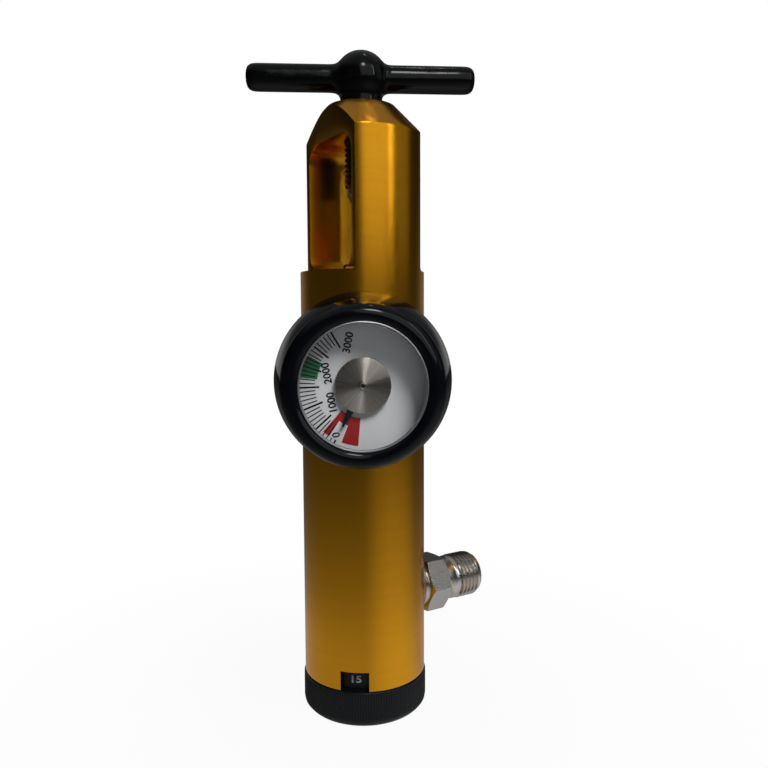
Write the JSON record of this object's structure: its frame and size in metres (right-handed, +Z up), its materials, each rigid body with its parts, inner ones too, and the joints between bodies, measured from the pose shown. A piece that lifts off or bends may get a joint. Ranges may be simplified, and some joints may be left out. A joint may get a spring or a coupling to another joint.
{
  "type": "oxygen regulator",
  "caption": "Barrel oxygen regulator with a yoke window, T-handled clamp screw, pressure gauge, threaded side outlet and click flow knob.",
  "frame": {"origin": "centre of the face it stands on, under the flow knob, on the barrel's axis", "axes": "+Z up along the barrel's axis towards the T-handle, -Y is the side the gauge faces, the outlet points to +X turned 30 degrees to +Y"},
  "size_m": [0.0718, 0.0718, 0.1945],
  "materials": {
    "gold": "gold anodised, fine turned",
    "black_vinyl": "glossy dipped vinyl",
    "black_knob": "satin black, finely ribbed",
    "nickel": "satin nickel",
    "brass": "turned",
    "bronze": "sintered or stamped bronze",
    "blackened_steel": "blackened",
    "steel": "bright",
    "rubber": "matt",
    "nylon": "natural",
    "alloy": "turned",
    "black_gauge": "gloss black",
    "clear": "clear",
    "dial_white": "white with printed scale",
    "spun_metal": "spun"
  },
  "bodies": {
    "barrel_group": {"barrel": "gold", "inlet_nipple": "brass", "inlet_filter": "bronze", "sealing_washer": "rubber", "index_pins": "steel", "seat_nozzle": "brass", "stem_ring": "rubber", "main_spring": "steel", "flow_head": "brass", "flow_head_rings": "rubber", "shaft_ring": "rubber", "detent_ball": "steel", "detent_spring": "steel", "stop_pin": "steel", "outlet_fitting": "nickel", "outlet_washer": "bronze", "gauge_socket": "brass", "gauge_case": "black_gauge", "gauge_bezel": "black_gauge", "lens_gasket": "rubber", "gauge_lens": "clear", "dial_ring": "black_gauge", "gauge_dial": "dial_white", "pressure_coil": "bronze"},
    "piston_group": {"piston": "alloy", "piston_ring": "rubber", "piston_seat": "nylon"},
    "selector_group": {"flow_knob": "black_knob", "knob_screw": "blackened_steel", "selector_shaft": "steel", "orifice_plate": "brass"},
    "pointer_group": {"gauge_pointer": "spun_metal", "pointer_arbor": "brass"},
    "tip_group": {"thrust_tip": "steel"},
    "clamp_group": {"clamp_screw": "blackened_steel", "cross_bar": "steel", "handle_coating": "black_vinyl"}
  },
  "joints": [
    {"name": "piston_slide", "type": "slide", "parent": "barrel_group", "child": "piston_group", "axis": [0, 0, 1], "range_m": [0, 0.0012], "stiffness_N_per_m": 1500, "springref_m": -0.01, "deforming": ["main_spring"]},
    {"name": "flow_select", "type": "hinge", "parent": "barrel_group", "child": "selector_group", "pos_m": [0, 0, 0.01], "axis": [0, 0, 1], "range_deg": [0, 330]},
    {"name": "pointer_turn", "type": "hinge", "parent": "barrel_group", "child": "pointer_group", "pos_m": [0, -0.04, 0.10045], "axis": [0, 1, 0], "range_deg": [0, 122], "stiffness_Nm_per_rad": 0.0005, "springref_deg": -17.19},
    {"name": "clamp_travel", "type": "slide", "parent": "barrel_group", "child": "tip_group", "axis": [0, 0, 1], "range_m": [0, 0.014]},
    {"name": "clamp_turn", "type": "hinge", "parent": "tip_group", "child": "clamp_group", "pos_m": [0, 0, 0.16], "axis": [0, 0, 1], "range_deg": [0, 3360]}
  ],
  "couplings": [
    {"joint": "clamp_travel", "follows": "clamp_turn", "m_per_rad": 0.00023873}
  ]
}
